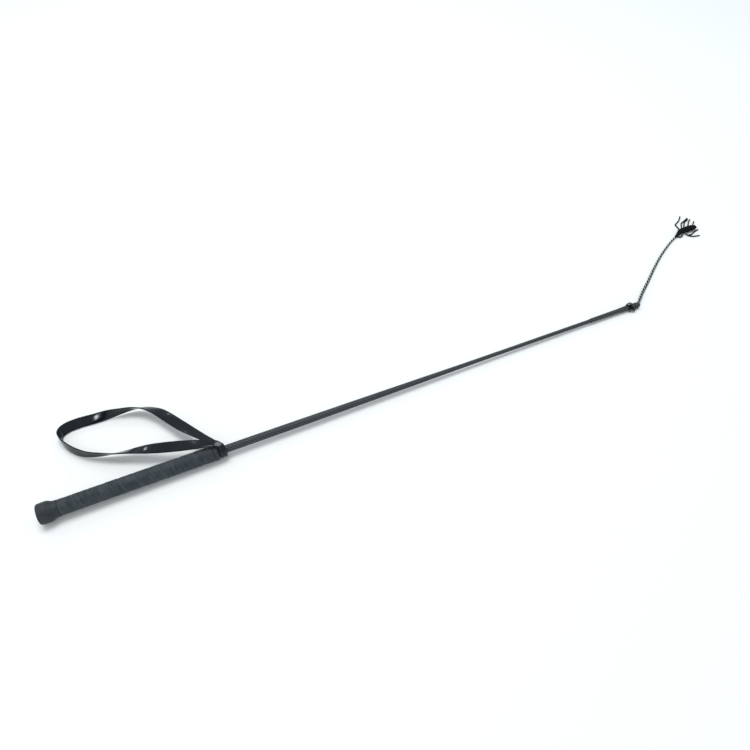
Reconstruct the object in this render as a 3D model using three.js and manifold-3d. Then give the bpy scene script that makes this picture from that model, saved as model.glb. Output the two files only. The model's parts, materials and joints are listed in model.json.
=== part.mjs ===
// A riding crop with a spiral-wrapped leather grip, a wrist loop, a braided
// tapering shaft and a twisted lash that ends in a tassel, lying on a table.
//
// Millimetres, +Z up, the table at z = 0. +X runs along the crop from the butt
// to the tip. The origin lies on the table, under the middle of the crop's
// bounding box without its lash and tassel.
//
// Two local frames are used. In the table frame x starts CAP_FACE behind the
// butt's end face, y at the line of the shaft and z at the table. In the rod
// frame x runs along the shaft's own axis, which slopes from the thick cap to
// the thin tip.

import * as THREE from 'three';
import { mergeVertices } from 'three/addons/utils/BufferGeometryUtils.js';
import Module from 'manifold-3d';

const wasm = await Module();
wasm.setup();

// ---- driving dimensions -------------------------------------------------

const GAP = 0.3; // clearance between neighbouring pieces
const SIDES = 24; // facets round the turned pieces

const CAP_RADIUS = 12.0;
const CAP_FACE = 2.6; // the butt's end face
const CAP_FULL_END = 13.4; // front end of the cap's thickest stretch
const CAP_END = 24.0;
const CAP_SOCKET_FLOOR = 6.6; // solid rubber is left behind the handle core
const GRIP_END = 199.7; // front end of the grip
const GRIP_RADIUS = 9.2;
const HANDLE_CORE_RADIUS = 7.2;

const TAPE_THICKNESS = 0.8;
const TAPE_PITCH = 16.6;
const TAPE_LAP = 1.2; // how far one turn of the tape covers the next
const TAPE_RISE = 1.05; // how far the lapping edge stands above the other
const TAPE_STEPS_PER_TURN = 20;
const FRONT_BAND_LENGTH = 5.5;

const COVER_START = 172.0; // the braid begins inside the handle
const WHIPPING_START = 722.0;
const WHIPPING_END = 786.0;
const KNOT_RADIUS = 4.0;
const LASH_PIVOT = 802.0; // centre of the knot's round end
const KNOT_END_RADIUS = 3.6;
const KNOT_TAPER = 1.5; // from the thick body of the knot to its round end
const ROD_START = 8.0;

const STRAP_WIDTH = 13.0;
const STRAP_THICKNESS = 1.6;
const STRAP_STEPS = 110;
const HITCH_LENGTH = 8.9; // of the strap's two turns round the neck
const HITCH_STUB_TOP = 9.3; // just under the loop's lower end

const LASH_RADIUS = 1.5;
const STRAND_RADIUS = 0.8;
const TASSEL_HEAD = [957.8, 97.7, 2.45]; // where the lash ends
const TASSEL_HEAD_TURN = 0.36;
const TASSEL_MIDDLE = [984.3, 102.2, 3.95];
const TASSEL_TURN = 0.05;
const TASSEL_HALF_SIZE = [20.3, 4.9, 3.8];

// The cap and the knot both touch the table, which sets the slope of the rod.
const CAP_CONTACT = CAP_FULL_END;
const KNOT_CONTACT = LASH_PIVOT - KNOT_TAPER;
const FACET = Math.cos(Math.PI / SIDES);
const SLOPE = Math.atan(((CAP_RADIUS - KNOT_RADIUS) * FACET) / (KNOT_CONTACT - CAP_CONTACT));
const BUTT_HEIGHT = CAP_RADIUS * FACET * Math.cos(SLOPE) + CAP_CONTACT * Math.sin(SLOPE);

const HALF_LENGTH = 404.0; // from the table frame's zero to the origin
const ROD_Y = -52.5; // from the origin to the line of the shaft

// ---- the shaft's radii along the rod ------------------------------------

const COVER_PROFILE = [
  [COVER_START, 4.75],
  [230, 4.75],
  [300, 4.5],
  [390, 3.95],
  [465, 3.35],
  [520, 2.85],
  [580, 2.65],
  [WHIPPING_START, 2.6],
];
const ROD_BUTT_RADIUS = 3.8;
const ROD_NECK_RADIUS = 3.7;
const ROD_TIP_RADIUS = 1.3;
const COVER_WALL = 0.75;
const WHIPPING_BORE = 1.75;

// ---- helpers ------------------------------------------------------------

function material(color, roughness) {
  return new THREE.MeshStandardMaterial({ color, roughness, metalness: 0 });
}

const LEATHER = material(0x2d343c, 0.75);
const RUBBER = material(0x262b31, 0.7);
const BRAID = material(0x32393f, 0.6);
const PATENT = material(0x14191f, 0.2);
const CORD = material(0x15181b, 0.65);
const FIBREGLASS = material(0xd8d2b8, 0.4);
const FOAM_PLASTIC = material(0x55585c, 0.8);

function mesh(name, geometry, look) {
  const made = new THREE.Mesh(geometry, look);
  made.name = name;
  return made;
}

// Turns [along, radius] points about the X axis, with a facet lying downwards.
function turned(profile, sides = SIDES) {
  const points = profile.map(([along, radius]) => new THREE.Vector2(radius, along));
  const geometry = new THREE.LatheGeometry(points, sides, Math.PI / sides, 2 * Math.PI);
  return geometry.rotateZ(-Math.PI / 2);
}

// A turned tube: its outside given from back to front, its bore the same way.
function turnedTube(outside, bore) {
  return turned([...outside, ...[...bore].reverse(), outside[0]]);
}

function toManifold(geometry) {
  const bare = geometry.clone();
  bare.deleteAttribute('normal');
  bare.deleteAttribute('uv');
  const welded = mergeVertices(bare, 1e-4);
  const solidMesh = new wasm.Mesh({
    numProp: 3,
    vertProperties: new Float32Array(welded.attributes.position.array),
    triVerts: new Uint32Array(welded.index.array),
  });
  return new wasm.Manifold(solidMesh);
}

function toGeometry(solid) {
  const { vertProperties, triVerts } = solid.getMesh();
  const geometry = new THREE.BufferGeometry();
  geometry.setAttribute('position', new THREE.BufferAttribute(vertProperties, 3));
  geometry.setIndex(new THREE.BufferAttribute(triVerts, 1));
  return geometry;
}

// Moves every vertex of a bar by place(along, across, out), where along runs
// from 0 to 1 over the bar's unit length.
function layAlong(geometry, place) {
  const position = geometry.attributes.position;
  for (let i = 0; i < position.count; i += 1) {
    const point = place(position.getX(i) + 0.5, position.getY(i), position.getZ(i));
    position.setXYZ(i, point.x, point.y, point.z);
  }
  return geometry;
}

// A round tube with few sides along hand-placed points.
function cordTube(points, radius, sides, steps) {
  const path = new THREE.CatmullRomCurve3(points.map(([x, y, z]) => new THREE.Vector3(x, y, z)));
  const section = new THREE.Shape();
  for (let i = 0; i < sides; i += 1) {
    const angle = (2 * Math.PI * (i + 0.5)) / sides;
    const corner = [radius * Math.cos(angle), radius * Math.sin(angle)];
    if (i === 0) section.moveTo(...corner);
    else section.lineTo(...corner);
  }
  return new THREE.ExtrudeGeometry(section, { steps, extrudePath: path, bevelEnabled: false });
}

// ---- the grip -----------------------------------------------------------

function buttCap() {
  const socket = HANDLE_CORE_RADIUS + GAP;
  const outside = [
    [CAP_FACE, 0],
    [CAP_FACE, 9.6],
    [CAP_FACE + 0.8, 11.0],
    [CAP_FACE + 2.2, 11.8],
    [CAP_FACE + 4.4, CAP_RADIUS],
    [CAP_FULL_END, CAP_RADIUS],
    [15.4, 11.4],
    [17.4, 10.4],
    [19.4, 9.6],
    [CAP_END, 9.2],
  ];
  const bore = [
    [CAP_END, socket],
    [CAP_SOCKET_FLOOR, socket],
    [CAP_SOCKET_FLOOR, 0],
  ];
  return mesh('butt_cap', turned([...outside, ...bore]), RUBBER);
}

// A plastic tube that fills the grip out from the rod to the leather.
function handleCore() {
  const back = CAP_SOCKET_FLOOR + GAP;
  const step = COVER_START - 2;
  const rodBore = ROD_BUTT_RADIUS + GAP;
  const coverBore = COVER_PROFILE[0][1] + GAP;
  const outside = [
    [back, HANDLE_CORE_RADIUS],
    [GRIP_END - GAP, HANDLE_CORE_RADIUS],
  ];
  const bore = [
    [back, rodBore],
    [step, rodBore],
    [step, coverBore],
    [GRIP_END - GAP, coverBore],
  ];
  return mesh('handle_core', turnedTube(outside, bore), FOAM_PLASTIC);
}

// One leather tape wound in a spiral, each turn lapping over the next.
function gripWrap() {
  const width = TAPE_PITCH + TAPE_LAP;
  const start = CAP_END + GAP + width / 2;
  const end = GRIP_END - FRONT_BAND_LENGTH - GAP - width / 2;
  const turns = (end - start) / TAPE_PITCH;
  const steps = Math.round(turns * TAPE_STEPS_PER_TURN);
  const underside = HANDLE_CORE_RADIUS + GAP + TAPE_THICKNESS / 2;
  const bar = new THREE.BoxGeometry(1, width, TAPE_THICKNESS, steps, 1, 1);
  const place = (along, across, out) => {
    const angle = (2 * Math.PI * steps * along) / TAPE_STEPS_PER_TURN;
    const radius = underside + TAPE_RISE * (across / width + 0.5) + out;
    const x = start + (end - start) * along + across;
    return new THREE.Vector3(x, -radius * Math.cos(angle), -radius * Math.sin(angle));
  };
  return mesh('grip_wrap', layAlong(bar, place), LEATHER);
}

// The narrow leather band that closes the front end of the tape.
function gripFrontBand() {
  const inner = HANDLE_CORE_RADIUS + GAP;
  const back = GRIP_END - FRONT_BAND_LENGTH;
  const outside = [
    [back, GRIP_RADIUS - 0.3],
    [back + 0.8, GRIP_RADIUS],
    [GRIP_END - 1.4, GRIP_RADIUS],
    [GRIP_END, GRIP_RADIUS - 1.0],
  ];
  const bore = [
    [back, inner],
    [GRIP_END, inner],
  ];
  return mesh('grip_front_band', turnedTube(outside, bore), LEATHER);
}

// ---- the shaft ----------------------------------------------------------

function coreRod() {
  const last = COVER_PROFILE.length - 1;
  const outside = [
    [ROD_START, 0],
    [ROD_START, ROD_BUTT_RADIUS],
    [COVER_START, ROD_NECK_RADIUS],
    ...COVER_PROFILE.slice(1, last).map(([along, radius]) => [along, radius - COVER_WALL - GAP]),
    [WHIPPING_END - GAP, ROD_TIP_RADIUS],
    [WHIPPING_END - GAP, 0],
  ];
  return mesh('core_rod', turned(outside, 16), FIBREGLASS);
}

function shaftCover() {
  const end = WHIPPING_START - GAP;
  const outside = COVER_PROFILE.map(([along, radius]) => [Math.min(along, end), radius]);
  const bore = outside.map(([along, radius]) => [along, radius - COVER_WALL]);
  return mesh('shaft_cover', turnedTube(outside, bore), BRAID);
}

// The cord bound round the tip in close slanting turns, which holds the lash.
function tipWhipping() {
  const outside = [
    [WHIPPING_START, 2.7],
    [WHIPPING_START + 3, 3.0],
    [768, 3.15],
    [776, 3.5],
    [WHIPPING_END, 3.8],
  ];
  const bore = [
    [WHIPPING_START, WHIPPING_BORE],
    [WHIPPING_END, WHIPPING_BORE],
  ];
  return mesh('tip_whipping', turnedTube(outside, bore), BRAID);
}

function tipKnot() {
  const back = WHIPPING_END + GAP;
  const roundEnd = (angle) => [
    LASH_PIVOT + KNOT_END_RADIUS * Math.sin(angle),
    KNOT_END_RADIUS * Math.cos(angle),
  ];
  const profile = [
    [back, 0],
    [back, 3.2],
    [back + 2.0, 3.75],
    [back + 5.0, KNOT_RADIUS],
    [LASH_PIVOT - KNOT_TAPER, KNOT_RADIUS],
    [LASH_PIVOT, KNOT_END_RADIUS],
    ...[30, 60].map((degrees) => roundEnd(THREE.MathUtils.degToRad(degrees))),
    [LASH_PIVOT + KNOT_END_RADIUS, 0],
  ];
  return mesh('tip_knot', turned(profile), CORD);
}

// A small bight of cord that stands out of the knot, turned about the rod by
// `around` radians from the top.
function knotLoop(name, along, around) {
  const ringRadius = 2.1;
  const cordRadius = 0.9;
  const ringHeight = 5.1; // of its centre above the rod's axis
  const ring = new THREE.TorusGeometry(ringRadius, cordRadius, 8, 14);
  ring.rotateX(Math.PI / 2);
  ring.translate(along, 0, ringHeight);
  const clearance = KNOT_RADIUS + GAP;
  const core = new THREE.CylinderGeometry(clearance, clearance, 20, SIDES);
  core.rotateZ(Math.PI / 2);
  core.translate(along, 0, 0);
  const arch = toGeometry(toManifold(ring).subtract(toManifold(core)));
  return mesh(name, arch.rotateX(around), CORD);
}

// ---- the wrist loop -----------------------------------------------------

// The two tight turns of the strap round the neck, with the stub that rises in
// front of the grip to the loop's ends. They turn round the shaft as one.
function strapHitch() {
  const back = GRIP_END + GAP + 0.2;
  const front = back + HITCH_LENGTH;
  const inner = COVER_PROFILE[0][1] + GAP;
  const outside = [
    [back, 6.2],
    [back + 2.2, 7.0],
    [back + 4.3, 6.3],
    [back + 6.5, 6.9],
    [front, 5.9],
  ];
  const bore = [
    [back, inner],
    [front, inner],
  ];
  const turns = turnedTube(outside, bore);
  const stubLength = 3.4;
  const stubWidth = 9;
  const stubFoot = 5.6;
  const stub = new THREE.BoxGeometry(stubLength, stubWidth, HITCH_STUB_TOP - stubFoot);
  stub.translate(back + stubLength / 2, 0, (HITCH_STUB_TOP + stubFoot) / 2);
  return mesh('strap_hitch', toGeometry(toManifold(turns).add(toManifold(stub))), PATENT);
}

// The loop from its near end round to its far end: x, y and z in the table
// frame, and the lean of the strap in degrees. At 0 it stands on its edge, at
// 90 it lies flat with its inner face up, and at -90 with its outer face up.
const STRAP_ROUTE = [
  [203.0, 2.0, 22.9, 90],
  [190.4, 6.9, 22.8, 90],
  [177.0, 12.1, 22.2, 97],
  [163.0, 17.7, 20.8, 103],
  [142.8, 26.3, 18.0, 104],
  [128.6, 32.8, 15.5, 90],
  [114.4, 38.8, 13.0, 68],
  [102.2, 43.1, 11.3, 50],
  [91.0, 47.1, 9.8, 38],
  [76.0, 53.5, 8.2, 18],
  [62.2, 60.6, 7.3, 4],
  [51.0, 69.6, 6.9, -9],
  [41.5, 82.2, 6.8, -8],
  [36.2, 94.5, 6.8, 2],
  [36.6, 104.4, 6.5, 18],
  [44.2, 110.4, 5.9, 36],
  [57.0, 112.2, 5.7, 38],
  [77.6, 110.6, 6.3, 26],
  [92.0, 109.6, 7.0, 12],
  [107.3, 107.7, 8.0, -7],
  [122.7, 104.5, 9.3, -27],
  [134.6, 98.6, 10.8, -46],
  [143.5, 90.8, 12.0, -62],
  [150.3, 82.4, 13.1, -80],
  [158.7, 68.4, 14.6, -98],
  [169.8, 48.9, 16.8, -103],
  [181.3, 30.7, 19.0, -94],
  [190.8, 16.6, 20.2, -90],
  [202.0, 2.6, 20.4, -90],
];

function wristStrap() {
  const spine = new THREE.CatmullRomCurve3(
    STRAP_ROUTE.map(([x, y, z]) => new THREE.Vector3(x, y, z)),
  );
  const leans = new THREE.SplineCurve(
    STRAP_ROUTE.map(([, , , lean]) => new THREE.Vector2(THREE.MathUtils.degToRad(lean), 0)),
  );
  const up = new THREE.Vector3(0, 0, 1);
  const place = (along, across, out) => {
    const tangent = spine.getTangent(along);
    const outward = new THREE.Vector3().crossVectors(up, tangent).normalize();
    const upright = new THREE.Vector3().crossVectors(tangent, outward);
    const lean = leans.getPoint(along).x;
    const point = spine.getPoint(along);
    point.addScaledVector(outward, across * Math.sin(lean) - out * Math.cos(lean));
    point.addScaledVector(upright, across * Math.cos(lean) + out * Math.sin(lean));
    return point;
  };
  const bar = new THREE.BoxGeometry(1, STRAP_WIDTH, STRAP_THICKNESS, STRAP_STEPS, 1, 1);
  return mesh('wrist_strap', layAlong(bar, place), PATENT);
}

// ---- the lash and its tassel --------------------------------------------

const LASH_ROUTE = [
  [806.0, 1.3, 4.5],
  [810.2, 4.4, 4.5],
  [815.2, 8.2, 4.2],
  [820.6, 12.3, 3.7],
  [830.5, 19.6, 2.7],
  [841.2, 26.8, 2.0],
  [853.0, 34.8, 1.75],
  [866.0, 44.1, 1.7],
  [879.0, 53.2, 1.65],
  [892.0, 62.0, 1.6],
  [905.0, 70.3, 1.6],
  [918.0, 78.0, 1.6],
  [931.0, 85.2, 1.6],
  [943.0, 91.4, 1.6],
  [951.0, 95.0, 1.7],
  [957.0, 97.4, 2.0],
];

function lash() {
  return mesh('lash', cordTube(LASH_ROUTE, LASH_RADIUS, 8, 34), CORD);
}

// The turns of cord that tie the head of the tassel to the end of the lash.
function tasselBinding() {
  const profile = [
    [0, 0],
    [0.3, 1.1],
    [1.0, 1.8],
    [2.1, 2.2],
    [4.0, 2.4],
    [5.2, 2.1],
    [5.2, 0],
  ];
  const made = mesh('tassel_binding', turned(profile, 12), CORD);
  made.position.set(...TASSEL_HEAD);
  made.rotation.z = TASSEL_HEAD_TURN;
  return made;
}

// The thick bunch of strands that lie together.
function tasselCore() {
  const bunch = new THREE.SphereGeometry(1, 16, 10);
  bunch.rotateZ(Math.PI / 2);
  bunch.scale(...TASSEL_HALF_SIZE);
  const made = mesh('tassel_core', bunch, CORD);
  made.position.set(...TASSEL_MIDDLE);
  made.rotation.z = TASSEL_TURN;
  return made;
}

// The strands that stray from the bunch.
const STRAND_ROUTES = {
  a: [[974.8, 107.8], [976.8, 113.0], [978.4, 120.2], [986.0, 125.2], [994.5, 130.6], [1003, 137.2]],
  b: [[981.0, 108.6], [984.6, 115.2], [989.4, 120.4], [996.4, 124.2], [1004, 126.0], [1012, 128.8]],
  c: [[987.2, 108.6], [990.6, 113.6], [994.8, 118.2], [1000.6, 121.2], [1008.6, 124.6]],
  d: [[994.8, 108.0], [1000.0, 113.6], [1004.8, 118.8], [1010.4, 121.4]],
  e: [[1001.0, 106.6], [1006.0, 110.4], [1013.0, 116.8]],
  f: [[979.6, 95.6], [981.8, 92.6], [989.0, 94.2], [997.0, 95.8], [1006.0, 98.4]],
  g: [[985.0, 90.4], [988.2, 88.8], [991.4, 86.8], [997.0, 86.2]],
  h: [[963.2, 96.0], [966.4, 94.4], [970.4, 94.8], [974.0, 95.6]],
};

function tasselStrands() {
  return Object.entries(STRAND_ROUTES).map(([letter, route]) => {
    const height = STRAND_RADIUS + GAP / 2;
    const points = route.map(([x, y]) => [x, y, height]);
    const tube = cordTube(points, STRAND_RADIUS, 6, 10);
    return mesh(`tassel_strand_${letter}`, tube, CORD);
  });
}

// ---- the assembly -------------------------------------------------------

const rodFrame = new THREE.Group();
rodFrame.position.z = BUTT_HEIGHT;
rodFrame.rotation.y = SLOPE;
rodFrame.add(
  buttCap(),
  handleCore(),
  gripWrap(),
  gripFrontBand(),
  coreRod(),
  shaftCover(),
  tipWhipping(),
  tipKnot(),
  knotLoop('knot_loop_upper', 789.4, 0),
  knotLoop('knot_loop_side', 791.5, Math.PI / 2),
  strapHitch(),
);

const tableFrame = new THREE.Group();
tableFrame.position.set(-HALF_LENGTH, ROD_Y, 0);
tableFrame.add(rodFrame, wristStrap(), lash(), tasselBinding(), tasselCore(), ...tasselStrands());

const ridingCrop = new THREE.Group();
ridingCrop.add(tableFrame);

export default ridingCrop;
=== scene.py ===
"""A riding crop with a spiral leather grip, a wrist loop, a braided shaft and a twisted lash with a tassel.

For Blender 4.5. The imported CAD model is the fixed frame, and every object is in metres in that frame:
+X runs from the butt to the tip, +Z is up, and the crop lies on the floor at z = 0.

Sizes are in millimetres and become metres in rod() and table(). In the table frame x starts CAP_FACE behind
the butt's end face, y at the line of the shaft and z at the floor. In the rod frame x runs along the shaft's
own axis, and y and z are measured from it.
"""
import json
import math

import bmesh
import bpy
import numpy as np
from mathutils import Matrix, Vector, noise


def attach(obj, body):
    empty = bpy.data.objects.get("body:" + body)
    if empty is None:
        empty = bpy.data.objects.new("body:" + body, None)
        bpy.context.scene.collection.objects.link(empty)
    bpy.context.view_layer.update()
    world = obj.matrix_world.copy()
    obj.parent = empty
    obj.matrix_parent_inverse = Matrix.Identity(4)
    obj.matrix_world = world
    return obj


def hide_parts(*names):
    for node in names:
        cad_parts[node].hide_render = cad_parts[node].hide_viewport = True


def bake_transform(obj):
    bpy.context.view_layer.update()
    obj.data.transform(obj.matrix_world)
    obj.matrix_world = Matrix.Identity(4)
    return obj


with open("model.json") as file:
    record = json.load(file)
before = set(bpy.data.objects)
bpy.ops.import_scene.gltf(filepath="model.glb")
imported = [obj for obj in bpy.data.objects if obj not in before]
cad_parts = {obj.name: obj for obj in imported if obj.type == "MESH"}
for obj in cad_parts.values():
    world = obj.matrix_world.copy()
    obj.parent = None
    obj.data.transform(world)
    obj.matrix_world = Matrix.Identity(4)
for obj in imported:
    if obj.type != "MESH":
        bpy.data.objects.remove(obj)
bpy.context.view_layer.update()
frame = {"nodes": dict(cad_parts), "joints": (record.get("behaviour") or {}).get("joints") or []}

# ---- driving dimensions, in millimetres ---------------------------------

MM = 0.001
HALF_LENGTH = 404.0  # from the table frame's zero to the origin
ROD_Y = -52.5  # from the origin to the line of the shaft
HITCH_ALONG = 204.5  # where the hitch_turn joint stands on the rod

CAP_FACE = 2.6
CAP_END = 24.0
CAP_SOCKET_FLOOR = 6.6
HANDLE_CORE_RADIUS = 7.2
SOCKET_RADIUS = HANDLE_CORE_RADIUS + 0.3  # what slips over the handle core
GRIP_END = 199.7
GRIP_RADIUS = 9.0
BAND_START = GRIP_END - 5.5
TAPE_PITCH = 16.6
TAPE_WIDTH = 17.8
COVER_START = 172.0
COVER_WALL = 0.75
WHIPPING_START = 722.0
WHIPPING_END = 786.0
WHIPPING_BORE = 1.75
STRAP_WIDTH = 13.0
STRAP_THICKNESS = 1.6

joints = {joint["name"]: joint for joint in frame["joints"]}
ROD_AXIS = Vector(joints["hitch_turn"]["axis"]).normalized()
ROD_UP = Vector((-ROD_AXIS.z, 0, ROD_AXIS.x))
NECK = Vector(joints["hitch_turn"]["pos_m"])


def rod(along, side, up):
    """A point of the rod frame, in metres in the row frame."""
    return NECK + (ROD_AXIS * (along - HITCH_ALONG) + Vector((0, side, 0)) + ROD_UP * up) * MM


def table(x, y, z):
    """A point of the table frame, in metres in the row frame."""
    return Vector((x - HALF_LENGTH, y + ROD_Y, z)) * MM


# ---- lines and skins ----------------------------------------------------


def smooth(points, steps=12):
    """A smooth line through given points; any further columns are carried along with x, y and z."""
    points = np.array(points, float)
    gaps = np.linalg.norm(np.diff(points[:, :3], axis=0), axis=1)
    knots = np.concatenate([[0], np.cumsum(np.sqrt(np.maximum(gaps, 1e-9)))])
    slopes = np.gradient(points, knots, axis=0)
    made = []
    for i in range(len(points) - 1):
        span = knots[i + 1] - knots[i]
        t = np.linspace(0, 1, steps, endpoint=False)[:, None]
        made.append(
            (2 * t**3 - 3 * t**2 + 1) * points[i]
            + (t**3 - 2 * t**2 + t) * span * slopes[i]
            + (3 * t**2 - 2 * t**3) * points[i + 1]
            + (t**3 - t**2) * span * slopes[i + 1]
        )
    return np.concatenate([*made, points[-1:]])


def evenly(line, spacing):
    """The same line again with its points evenly spaced."""
    run = lengths(line)
    count = max(2, round(run[-1] / spacing) + 1)
    at = np.linspace(0, run[-1], count)
    return np.stack([np.interp(at, run, column) for column in line.T], axis=1)


def lengths(line):
    """How far along the line each of its points is."""
    steps = np.linalg.norm(np.diff(line[:, :3], axis=0), axis=1)
    return np.concatenate([[0], np.cumsum(steps)])


def unit(vectors):
    return vectors / np.maximum(np.linalg.norm(vectors, axis=-1, keepdims=True), 1e-12)


def tangents_of(line):
    return unit(np.gradient(line[:, :3], axis=0))


def turned_frames(line):
    """Tangents and two crosswise directions that turn with the line as little as they can."""
    tangents = tangents_of(line)
    start = np.cross([0.0, 0.0, 1.0], tangents[0])
    if np.linalg.norm(start) < 0.1:
        start = np.cross([1.0, 0.0, 0.0], tangents[0])
    sides = [start / np.linalg.norm(start)]
    for tangent in tangents[1:]:
        side = sides[-1] - tangent * (sides[-1] @ tangent)
        sides.append(side / np.linalg.norm(side))
    sides = np.array(sides)
    return tangents, sides, np.cross(tangents, sides)


def skin(name, rings, look, closed=False, along=None, around=None, attributes=None):
    """A closed skin over rings of points, an array of rings by points by 3, in metres.

    closed joins the last ring to the first. along and around are the UV map's two coordinates. What would
    reach below the floor is pressed flat on it."""
    rings = rings.copy()
    rings[..., 2] = np.maximum(rings[..., 2], 0)
    count, sides = rings.shape[:2]
    rows = np.arange(count if closed else count - 1)[:, None]
    columns = np.arange(sides)[None, :]
    next_rows = (rows + 1) % count
    next_columns = (columns + 1) % sides
    quads = np.stack(
        [
            rows * sides + columns,
            rows * sides + next_columns,
            next_rows * sides + next_columns,
            next_rows * sides + columns,
        ],
        axis=-1,
    ).reshape(-1, 4)
    faces = quads.tolist()
    if not closed:
        faces.append(list(range(sides - 1, -1, -1)))
        faces.append(list(range((count - 1) * sides, count * sides)))
    mesh = bpy.data.meshes.new(name)
    mesh.from_pydata(rings.reshape(-1, 3).tolist(), [], faces)
    along = np.arange(count) if along is None else np.array(along, float)
    around = np.arange(sides) / sides if around is None else np.array(around, float)
    along = np.append(along, along[-1] + abs(along[-1] - along[-2]))
    around = np.append(around, 2 * around[-1] - around[-2])
    corners = np.stack(
        [
            np.stack(np.broadcast_arrays(along[rows], around[columns]), -1),
            np.stack(np.broadcast_arrays(along[rows], around[columns + 1]), -1),
            np.stack(np.broadcast_arrays(along[rows + 1], around[columns + 1]), -1),
            np.stack(np.broadcast_arrays(along[rows + 1], around[columns]), -1),
        ],
        axis=2,
    )
    uv = np.zeros((len(mesh.loops), 2))
    uv[: corners.size // 2] = corners.reshape(-1, 2)
    mesh.uv_layers.new(name="surface").data.foreach_set("uv", uv.ravel())
    for key, values in (attributes or {}).items():
        mesh.attributes.new(key, "FLOAT", "POINT").data.foreach_set("value", values.ravel())
    shell = bmesh.new()
    shell.from_mesh(mesh)
    if shell.calc_volume(signed=True) < 0:
        bmesh.ops.reverse_faces(shell, faces=shell.faces)
    shell.to_mesh(mesh)
    shell.free()
    mesh.shade_smooth()
    piece = bpy.data.objects.new(name, mesh)
    bpy.context.scene.collection.objects.link(piece)
    piece.data.materials.append(look)
    return piece


def joined(name, pieces):
    """Several pieces as one object, each still a closed skin of its own."""
    with bpy.context.temp_override(active_object=pieces[0], selected_editable_objects=pieces):
        bpy.ops.object.join()
    pieces[0].name = name
    return pieces[0]


def lathe_rings(profile, sides, ripple=None):
    """Rings about the rod's axis from [along, radius] points. ripple(along, angle) adds to the radius."""
    angles = np.arange(sides) * 2 * math.pi / sides
    along = np.array([point[0] for point in profile])[:, None]
    radii = np.array([point[1] for point in profile])[:, None] + 0 * angles[None, :]
    if ripple is not None:
        radii = radii + ripple(along, angles[None, :])
    return around_rod(along + 0 * radii, angles[None, :] + 0 * radii, radii)


def around_rod(along, angles, radii):
    """Points about the rod, in metres. Angle 0 is the top, and a quarter turn is the side at -Y."""
    spots = (along - HITCH_ALONG)[..., None] * np.array(ROD_AXIS)
    spots = spots + (radii * np.cos(angles))[..., None] * np.array(ROD_UP)
    spots[..., 1] -= radii * np.sin(angles)
    return np.array(NECK) + spots * MM


def rounded(profile, steps=6):
    """A profile through [along, radius] points, with each stretch curved."""
    line = smooth([[along, radius, 0] for along, radius in profile], steps)
    return line[:, :2].tolist()


def cord_rings(line, radii, plies, pitch, sides):
    """Rings of a cord of `plies` round yarns twisted together once in every `pitch`, which is in metres.

    The second result says how deep in a groove between two yarns each point is, from 0 to 1."""
    _, side, upright = turned_frames(line)
    angles = np.arange(sides) * 2 * math.pi / sides
    yarn = 0.6 if plies == 2 else 0.5
    offset = 1 - yarn
    sector = 2 * math.pi / plies
    from_yarn = (angles + sector / 2) % sector - sector / 2
    outline = offset * np.cos(from_yarn) + np.sqrt(yarn**2 - (offset * np.sin(from_yarn)) ** 2)
    turned = angles[None, :] + (2 * math.pi * lengths(line) / pitch)[:, None]
    reach = outline[None, :] * np.broadcast_to(radii, len(line))[:, None]
    across = (reach * np.cos(turned))[..., None] * side[:, None, :]
    rings = line[:, None, :3] + across + (reach * np.sin(turned))[..., None] * upright[:, None, :]
    groove = (1 - outline) / (1 - outline.min())
    return rings, np.tile(groove, (len(line), 1))


def round_ends(radii, run, length):
    """Radii that close in a round end at both ends of a cord."""
    nearer = np.minimum(run, run[-1] - run) / length
    return radii * np.sqrt(np.clip(1 - (1 - np.clip(nearer, 0, 1)) ** 2, 0.02, 1))


def kinked(points, softness=6):
    """A line straight from point to point, with its corners only just rounded."""
    line = evenly(np.array(points, float), 0.4 * MM)
    for _ in range(softness):
        line[1:-1] = (line[:-2] + 2 * line[1:-1] + line[2:]) / 4
    return line


def cord(name, points, radius, look, slot, plies=3, pitch=5.0, sides=24, spacing=0.5, bend=smooth, painted_sheen=0.0):
    """A twisted cord along points in metres; its radius, pitch and spacing are in millimetres.

    The last argument is how strongly its grooves are painted pale as a highlight, from 0 to 1."""
    line = evenly(bend(points), spacing * MM)
    radii = round_ends(np.full(len(line), radius * MM), lengths(line), 1.2 * radius * MM)
    rings, groove = cord_rings(line, radii, plies, pitch * MM, sides)
    return skin(name, rings, look, along=lengths(line), attributes={"groove": groove * painted_sheen})


# ---- materials ----------------------------------------------------------


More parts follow.
